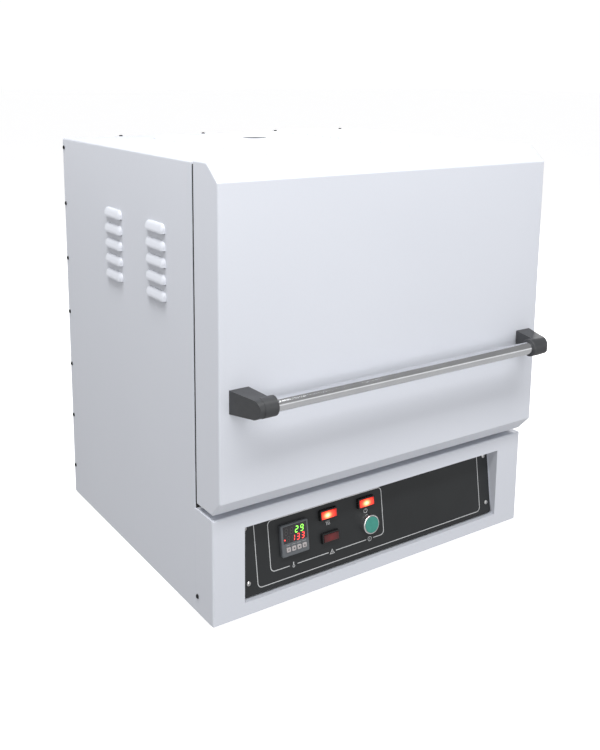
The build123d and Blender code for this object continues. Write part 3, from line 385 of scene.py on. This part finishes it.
DARK_RED = [(0.0, (0.10, 0.006, 0.008)), (1.0, (0.22, 0.012, 0.014))]
HOT_RED = [
    (0.0, (0.55, 0.008, 0.004)),
    (0.45, (1.0, 0.05, 0.02)),
    (0.72, (1.0, 0.33, 0.12)),
    (1.0, (1.0, 0.82, 0.52)),
]
LIT_BODY, DARK_BODY = (0.55, 0.06, 0.04), (0.17, 0.012, 0.014)
LIT_STRENGTH, DARK_STRENGTH = 3.2, 0.05

paint = powder_coat()
steel = zinc_sheet()
plated = plated_steel()
oxide = black_oxide()
soft_fibre = fibre("ceramic_fibre", (0.64, 0.61, 0.55), (0.84, 0.82, 0.77), (0.70, 0.60, 0.46))
board_fibre = fibre(
    "insulation_board", (0.55, 0.50, 0.40), (0.76, 0.71, 0.60), (0.60, 0.50, 0.36), fluff=0.0002
)
clay = fired_clay("fired_clay", (0.42, 0.36, 0.28), (0.62, 0.56, 0.46), (0.74, 0.71, 0.64))
key_plastic = moulded("key_plastic", (0.42, 0.39, 0.39), (0.52, 0.49, 0.49), low=0.48, high=0.62)
black_plastic = moulded("black_plastic", (0.020, 0.021, 0.022), (0.036, 0.037, 0.039), grain=0.0009)
bracket_plastic = moulded(
    "bracket_plastic", (0.042, 0.044, 0.047), (0.062, 0.064, 0.068), grain=0.0011, low=0.36, high=0.50
)
lit_lens_left = lens("lens_lit_left", "power_lamp_lens", -0.25, HOT_RED, LIT_STRENGTH, LIT_BODY)
lit_lens_right = lens("lens_lit_right", "heating_lamp_lens", -0.1, HOT_RED, LIT_STRENGTH, LIT_BODY)

node_finish = {
    paint: ["top_cover", "left_side_panel", "right_side_panel", "back_panel", "plinth", "door_skin"],
    steel: [
        "base_pan", "inner_casing", "shelf", "thermocouple", "door_back_plate",
        "door_hinge_plates", "lower_arms", "upper_arms", "arm_pivot_brackets",
    ],
    plated: ["panel_screws", "handle_bolts", "door_upper_pins", "cross_shaft", "case_pivot_pins"],
    oxide: ["case_screws"],
    rubber(): ["feet"],
    panel_black(): ["control_panel"],
    moulded("controller_plastic", (0.105, 0.115, 0.125), (0.135, 0.145, 0.158)): ["controller_case"],
    smoked_window(): ["controller_window"],
    key_plastic: [f"controller_key_{number}" for number in (1, 2, 3, 4)],
    moulded("lamp_plastic", (0.010, 0.010, 0.011), (0.018, 0.018, 0.019), low=0.20, high=0.34): [
        "lamp_housings"
    ],
    lit_lens_left: ["power_lamp_lens"],
    lit_lens_right: ["heating_lamp_lens"],
    lens("lens_dark", "safety_lamp_lens", 0.0, DARK_RED, DARK_STRENGTH, DARK_BODY): ["safety_lamp_lens"],
    polished_steel("chrome_ring", (0.80, 0.80, 0.80), 0.16, 0.28): ["start_bezel"],
    push_cap(): ["start_cap"],
    black_plastic: ["start_contact_block", "solid_state_relay", "contactor", "door_sensor", "cable_gland"],
    bracket_plastic: ["handle_brackets"],
    # The fascia is black as painted shade, so the gap round the door looks dark.
    stove_black(): ["front_fascia"],
    polished_steel(): ["handle_bar"],
    soft_fibre: [
        "chamber_floor", "chamber_roof", "chamber_side_walls", "chamber_back_wall",
        "mouth_frame", "door_plug",
    ],
    board_fibre: ["insulation_boards", "door_insulation"],
    clay: ["hearth_plate", "element_bushings"],
    fired_clay("sooty_clay", (0.06, 0.05, 0.045), (0.15, 0.13, 0.11), (0.22, 0.20, 0.18)): ["flue_tube"],
    element_wire(): ["heating_elements"],
    braided_rope(): ["seal_rope"],
    bronze(): ["lower_arm_bushes", "upper_arm_bushes"],
    extruded_aluminium(): ["heat_sink"],
    moulded("terminal_plastic", (0.60, 0.55, 0.42), (0.72, 0.67, 0.54)): ["terminal_block"],
}
for material, node_names in node_finish.items():
    for node_name in node_names:
        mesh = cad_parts[node_name].data
        mesh.materials.clear()
        mesh.materials.append(material)


# ================= PRINTED AND LIT DETAILS ON THE PANEL =================
def flat_piece(name, outlines, low, high, material, body="case"):
    """Thin plates on the control panel, from n = low to n = high.

    Each outline is a list of (u, v) points, counter-clockwise, or a ribbon made by stroke.
    """
    vertices, faces = [], []
    for outline in outlines:
        if isinstance(outline, tuple):
            left, right, closed = outline
            start, count = len(vertices), len(left)
            for (lu, lv), (ru, rv) in zip(left, right):
                vertices += [(lu, lv, low), (ru, rv, low), (ru, rv, high), (lu, lv, high)]
            for i in range(count if closed else count - 1):
                a, b = start + 4 * i, start + 4 * ((i + 1) % count)
                faces += [(a + k, a + (k + 1) % 4, b + (k + 1) % 4, b + k) for k in range(4)]
            if not closed:
                end = start + 4 * (count - 1)
                faces += [(start + 3, start + 2, start + 1, start), (end, end + 1, end + 2, end + 3)]
        else:
            start, count = len(vertices), len(outline)
            vertices += [(u, v, low) for u, v in outline] + [(u, v, high) for u, v in outline]
            faces.append(tuple(start + i for i in reversed(range(count))))
            faces.append(tuple(start + count + i for i in range(count)))
            for i in range(count):
                j = (i + 1) % count
                faces.append((start + i, start + j, start + count + j, start + count + i))
    mesh = bpy.data.meshes.new(name)
    mesh.from_pydata(vertices, [], faces)
    mesh.transform(panel_matrix)
    mesh.materials.append(material)
    mesh.update()
    piece = bpy.data.objects.new(name, mesh)
    bpy.context.scene.collection.objects.link(piece)
    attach(piece, body)


def stroke(points, width, closed=False):
    """A line of this width through (u, v) points, as its left and right edges with mitred corners."""
    count = len(points)
    left, right = [], []
    for i, point in enumerate(points):
        here = Vector(point)
        before = Vector(points[i - 1]) if closed or i > 0 else None
        after = Vector(points[(i + 1) % count]) if closed or i < count - 1 else None
        into = (here - before).normalized() if before is not None else (after - here).normalized()
        out = (after - here).normalized() if after is not None else into
        along = (into + out).normalized()
        side = Vector((-along.y, along.x)) * (width / 2) / max(0.5, along.dot(into))
        left.append(tuple(here + side))
        right.append(tuple(here - side))
    return (left, right, closed)


def arc(centre, radius, start, end, steps=8):
    """Points along an arc, with angles in degrees."""
    angles = [radians(start + (end - start) * i / steps) for i in range(steps + 1)]
    return [(centre[0] + radius * cos(a), centre[1] + radius * sin(a)) for a in angles]


def rounded_frame(u, v, radius):
    """The points of a rounded rectangle, counter-clockwise from the start of its lower edge."""
    corners = [((u[1], v[0]), -90), ((u[1], v[1]), 0), ((u[0], v[1]), 90), ((u[0], v[0]), 180)]
    points = []
    for (corner_u, corner_v), start in corners:
        inward_u = radius if corner_u == u[0] else -radius
        inward_v = radius if corner_v == v[0] else -radius
        points += arc((corner_u + inward_u, corner_v + inward_v), radius, start, start + 90)
    return points


# n of the printed ink's underside, let into the paint, and of its top.
INK_LOW, INK_HIGH = -0.05 * MM, 0.09 * MM
LINE_WIDTH = 1.15 * MM
FRAME_RADIUS = 7 * MM
white_ink = screen_ink("white_ink", (0.52, 0.53, 0.54), (0.68, 0.69, 0.70))

OUTER_FRAME = ((-221.3 * MM, 221.3 * MM), (34.4 * MM, 136.0 * MM))
INNER_U, INNER_V = (-198.0 * MM, 12.7 * MM), (51.1 * MM, 127.0 * MM)
SYMBOL_U = [-158.4 * MM, -88.0 * MM, -15.6 * MM]
GAP_HALF = 7.0 * MM

flat_piece(
    "panel_outer_line",
    [stroke(rounded_frame(*OUTER_FRAME, FRAME_RADIUS), LINE_WIDTH, closed=True)],
    INK_LOW, INK_HIGH, white_ink,
)

# The inner line is open at the symbols that stand in its lower edge.
around_top = rounded_frame(INNER_U, INNER_V, FRAME_RADIUS)
first_stop = (SYMBOL_U[-1] + GAP_HALF, INNER_V[0])
last_stop = (SYMBOL_U[0] - GAP_HALF, INNER_V[0])
inner_lines = [stroke([first_stop] + around_top + [last_stop], LINE_WIDTH)]
for before, after in zip(SYMBOL_U, SYMBOL_U[1:]):
    inner_lines.append(stroke([(before + GAP_HALF, INNER_V[0]), (after - GAP_HALF, INNER_V[0])], LINE_WIDTH))
flat_piece("panel_inner_line", inner_lines, INK_LOW, INK_HIGH, white_ink)


def placed(points, centre, size):
    """Points drawn about the origin, made this large and moved to a centre."""
    return [(centre[0] + u * size, centre[1] + v * size) for u, v in points]


SYMBOL = 3.3 * MM
THIN = 0.75 * MM
BULB_RADIUS, BULB_DROP = 1.7 * MM, 2.0 * MM
STEM_LOW, STEM_HIGH = -0.4 * MM, 4.2 * MM
mains_centre, control_centre = (-20.1 * MM, 97.0 * MM), (-92.2 * MM, 97.0 * MM)
gap_centres = [(u, INNER_V[0]) for u in SYMBOL_U]


def ring(centre, size, start=0, end=360):
    """A thin circle, or the part of one between two angles in degrees."""
    return stroke(placed(arc((0, 0), 1, start, end, 28), centre, size), THIN)


symbols = [
    # Mains: a broken circle with a bar.
    ring(mains_centre, SYMBOL, 120, 420),
    stroke(placed([(0, 0.25), (0, 1.25)], mains_centre, SYMBOL), THIN),
    # Start: a bar in a circle.
    ring(gap_centres[2], SYMBOL),
    stroke(placed([(0, -0.55), (0, 0.55)], gap_centres[2], SYMBOL), THIN),
    # Safety: a triangle with a bar.
    stroke(placed([(-1.15, -0.9), (1.15, -0.9), (0, 1.1)], gap_centres[1], SYMBOL), THIN, closed=True),
    stroke(placed([(0, -0.5), (0, 0.35)], gap_centres[1], SYMBOL), THIN),
    # Temperature: a bulb and its stem.
    ring((SYMBOL_U[0], INNER_V[0] - BULB_DROP), BULB_RADIUS),
    stroke([(SYMBOL_U[0], INNER_V[0] + STEM_LOW), (SYMBOL_U[0], INNER_V[0] + STEM_HIGH)], 2 * THIN),
]
# Heating: three rising waves.
for wave in (-1, 0, 1):
    rise = [(0.22 * sin(step * pi / 4) + wave * 0.8, -1 + step / 4) for step in range(9)]
    symbols.append(stroke(placed(rise, control_centre, SYMBOL), THIN))
flat_piece("panel_symbols", symbols, INK_LOW, INK_HIGH, white_ink)


# ---- Temperature display: four digits in each row, seven segments to a digit ----
CONTROLLER = (-155.7 * MM, 91.8 * MM)
WINDOW_FACE = 5.7 * MM                 # n of the window's front
SUNK = 0.03 * MM                       # how far small marks are let into the face they lie on
LEAN = 0.13                            # how far the digits lean, per unit of height
DIGIT_WIDTH = 0.50                     # these three are shares of a digit's height
BAR_HALF = 0.062
BAR_GAP = 0.03
SEGMENTS = {
    "a": ((-0.5, 1.0), (0.5, 1.0)), "b": ((0.5, 1.0), (0.5, 0.0)), "c": ((0.5, 0.0), (0.5, -1.0)),
    "d": ((-0.5, -1.0), (0.5, -1.0)), "e": ((-0.5, 0.0), (-0.5, -1.0)), "f": ((-0.5, 1.0), (-0.5, 0.0)),
    "g": ((-0.5, 0.0), (0.5, 0.0)),
}
LIT = {"8": "abcdefg", "2": "abged", "9": "abcdfg", "1": "bc", "3": "abcdg"}


def segment(start, end, half, gap):
    """A six-sided bar between two points, with pointed ends and a small gap at each."""
    first, last = Vector(start), Vector(end)
    along = (last - first).normalized()
    side = Vector((-along.y, along.x)) * half
    first = first + along * gap
    last = last - along * gap
    corner = along * half
    lower = [first, first + corner - side, last - corner - side]
    upper = [last, last - corner + side, first + corner + side]
    return [tuple(point) for point in lower + upper]


def digit(lit, centre, height, width):
    """The outlines of one digit's lit segments, leaning to the right."""
    outlines = []
    for name in lit:
        ends = [
            (centre[0] + u * width + v * height / 2 * LEAN, centre[1] + v * height / 2)
            for u, v in SEGMENTS[name]
        ]
        outlines.append(segment(*ends, half=height * BAR_HALF, gap=height * BAR_GAP))
    return outlines


def row_of_digits(name, text, colour, strength, centre_v, height, last_u, pitch):
    """A row of digits ending at last_u, with the segments that aren't lit as faint shapes."""
    lit, dark = [], []
    for place, character in enumerate(reversed(text)):
        centre = (CONTROLLER[0] + last_u - place * pitch, CONTROLLER[1] + centre_v)
        width = height * DIGIT_WIDTH
        if character == " ":
            dark += digit(LIT["8"], centre, height, width)
        else:
            lit += digit(LIT[character], centre, height, width)
            dark += digit([s for s in LIT["8"] if s not in LIT[character]], centre, height, width)
    low, high = WINDOW_FACE - SUNK, WINDOW_FACE + 0.05 * MM
    flat_piece(f"{name}_digits", lit, low, high, glowing(f"{name}_glow", colour, strength))
    flat_piece(f"{name}_unlit", dark, low, high, unlit_ink)


unlit_ink = screen_ink("unlit_segment", (0.045, 0.043, 0.045), (0.060, 0.057, 0.058))
GREEN, RED = (0.30, 1.0, 0.10), (1.0, 0.06, 0.05)
row_of_digits("measured", "  29", GREEN, 3.0, 13.2 * MM, 8.8 * MM, 12.6 * MM, 9.2 * MM)
row_of_digits("set_point", " 133", RED, 3.4, 1.7 * MM, 8.4 * MM, 13.6 * MM, 8.5 * MM)

LAMP_RADIUS, LAMP_RISE = 1.1 * MM, 0.25 * MM
lamp_centre = (CONTROLLER[0] - 18.4 * MM, CONTROLLER[1] + 1.7 * MM)
flat_piece(
    "output_lamp", [arc(lamp_centre, LAMP_RADIUS, 0, 337.5, 15)], WINDOW_FACE - SUNK, WINDOW_FACE + LAMP_RISE,
    glowing("output_lamp_glow", RED, 3.0),
)

# Small pale marks over each key, and a dot or an arrow on each key.
BEZEL_FACE = 6.0 * MM
KEY_U = [-13.2 * MM, -3.8 * MM, 5.6 * MM, 15.0 * MM]
KEY_V = -13.6 * MM
KEY_FACE = 6.9 * MM
MARK_V = -7.0 * MM
MARK_PITCH, MARK_HALF, MARK_WIDTH = 2.1 * MM, 0.7 * MM, 0.5 * MM
marks = []
for key_u in KEY_U:
    for step in (-1, 0, 1):
        mark_u = CONTROLLER[0] + key_u + step * MARK_PITCH
        mark_v = CONTROLLER[1] + MARK_V
        marks.append(stroke([(mark_u - MARK_HALF, mark_v), (mark_u + MARK_HALF, mark_v)], MARK_WIDTH))
flat_piece("controller_marks", marks, BEZEL_FACE - SUNK, BEZEL_FACE + SUNK, white_ink)

key_ink = screen_ink("key_ink", (0.05, 0.05, 0.055), (0.08, 0.08, 0.085))
KEY_SYMBOL = 1.9 * MM
key_shapes = [
    arc((0, 0), 0.6, 0, 337.5, 15),
    [(0.7, 0.9), (-0.9, 0), (0.7, -0.9)],
    [(-0.9, 0.7), (0, -0.9), (0.9, 0.7)],
    [(-0.9, -0.7), (0.9, -0.7), (0, 0.9)],
]
for number, (key_u, shape) in enumerate(zip(KEY_U, key_shapes), start=1):
    key_centre = (CONTROLLER[0] + key_u, CONTROLLER[1] + KEY_V)
    flat_piece(
        f"key_symbol_{number}", [placed(shape, key_centre, KEY_SYMBOL)],
        KEY_FACE - SUNK, KEY_FACE + 0.04 * MM, key_ink, f"key_{number}",
    )

# ================= FLOOR, LIGHT AND CAMERA =================
FLOOR_HALF = 30.0
floor_corners = [(x * FLOOR_HALF, y * FLOOR_HALF, 0) for x, y in ((-1, -1), (1, -1), (1, 1), (-1, 1))]
floor_mesh = bpy.data.meshes.new("floor")
floor_mesh.from_pydata(floor_corners, [], [(0, 1, 2, 3)])
floor = bpy.data.objects.new("floor", floor_mesh)
bpy.context.scene.collection.objects.link(floor)
floor_look = Finish("floor_white", Specular_IOR_Level=0.1, Emission_Strength=0.74)
floor_look.put("Base Color", floor_look.blend(floor_look.noise(0.6), (0.84, 0.84, 0.85), (0.88, 0.88, 0.89)))
floor_look.put("Emission Color", floor_look.blend(floor_look.noise(0.9), (0.98, 0.98, 0.98), (1.0, 1.0, 1.0)))
floor_look.put("Roughness", floor_look.span(floor_look.noise(0.3), 0.75, 0.9))
floor_mesh.materials.append(floor_look.material)
floor.visible_diffuse = False
floor.visible_glossy = False

# ---- A pale room: white at eye level, greyer overhead and underneath ----
# Each stop is a height, from 0 straight down to 1 straight up, and a brightness.
ROOM = [(0.00, 0.52), (0.45, 0.50), (0.49, 1.02), (0.55, 1.02), (0.59, 0.28), (1.00, 0.28)]
world = bpy.data.worlds.new("studio")
bpy.context.scene.world = world
world.use_nodes = True
world_nodes, world_links = world.node_tree.nodes, world.node_tree.links
direction = world_nodes.new("ShaderNodeTexCoord")
split = world_nodes.new("ShaderNodeSeparateXYZ")
level = world_nodes.new("ShaderNodeMapRange")
level.inputs["From Min"].default_value = -1.0
room = world_nodes.new("ShaderNodeValToRGB")
while len(room.color_ramp.elements) < len(ROOM):
    room.color_ramp.elements.new(0.5)
for stop, (position, brightness) in zip(room.color_ramp.elements, ROOM):
    stop.position = position
    stop.color = (brightness, brightness, brightness * 1.005, 1.0)
world_links.new(direction.outputs["Generated"], split.inputs[0])
world_links.new(split.outputs["Z"], level.inputs["Value"])
world_links.new(level.outputs[0], room.inputs["Fac"])
world_links.new(room.outputs["Color"], world_nodes["Background"].inputs["Color"])
bpy.context.scene.view_settings.view_transform = "Standard"


def softbox(name, place, turn, size, watts):
    """A rectangular light that faces down and is then turned about X, Y and Z, in degrees."""
    light = bpy.data.lights.new(name, "AREA")
    light.shape = "RECTANGLE"
    light.size, light.size_y = size
    light.energy = watts
    lamp = bpy.data.objects.new(name, light)
    bpy.context.scene.collection.objects.link(lamp)
    lamp.location = place
    lamp.rotation_euler = [radians(angle) for angle in turn]


# A narrow ceiling light in front, a broad light behind the camera, one above the left side,
# and one behind on the right for the sides away from the camera.
softbox("ceiling", (-0.45, -1.12, 2.06), (26, 0, 0), (2.4, 0.36), 27)
softbox("front", (-0.5, -3.3, 1.05), (78, 0, -6), (2.2, 1.2), 30)
softbox("overhead_left", (-0.85, 0.05, 2.3), (0, -18, 0), (0.7, 1.2), 30)
softbox("back_right", (1.9, 1.9, 1.7), (-58, 0, -45), (1.4, 1.2), 30)

CAMERA_PLACE = (-0.8707, -1.2723, 0.7681)
CAMERA_AZIMUTH, CAMERA_ELEVATION, CAMERA_ROLL = radians(-34.32), radians(10.87), radians(0.58)
CAMERA_LENS, CAMERA_SHIFT = 44.92, -0.167
back = Vector(
    (
        sin(CAMERA_AZIMUTH) * cos(CAMERA_ELEVATION),
        -cos(CAMERA_AZIMUTH) * cos(CAMERA_ELEVATION),
        sin(CAMERA_ELEVATION),
    )
)
right = Vector((0, 0, 1)).cross(back).normalized()
up = back.cross(right)
turned_right = right * cos(CAMERA_ROLL) + up * sin(CAMERA_ROLL)
turned_up = up * cos(CAMERA_ROLL) - right * sin(CAMERA_ROLL)
camera_data = bpy.data.cameras.new("camera")
camera_data.lens = CAMERA_LENS
camera_data.shift_y = CAMERA_SHIFT
camera = bpy.data.objects.new("camera", camera_data)
bpy.context.scene.collection.objects.link(camera)
camera_turn = Matrix((turned_right, turned_up, back)).transposed().to_4x4()
camera.matrix_world = Matrix.Translation(CAMERA_PLACE) @ camera_turn
bpy.context.scene.camera = camera
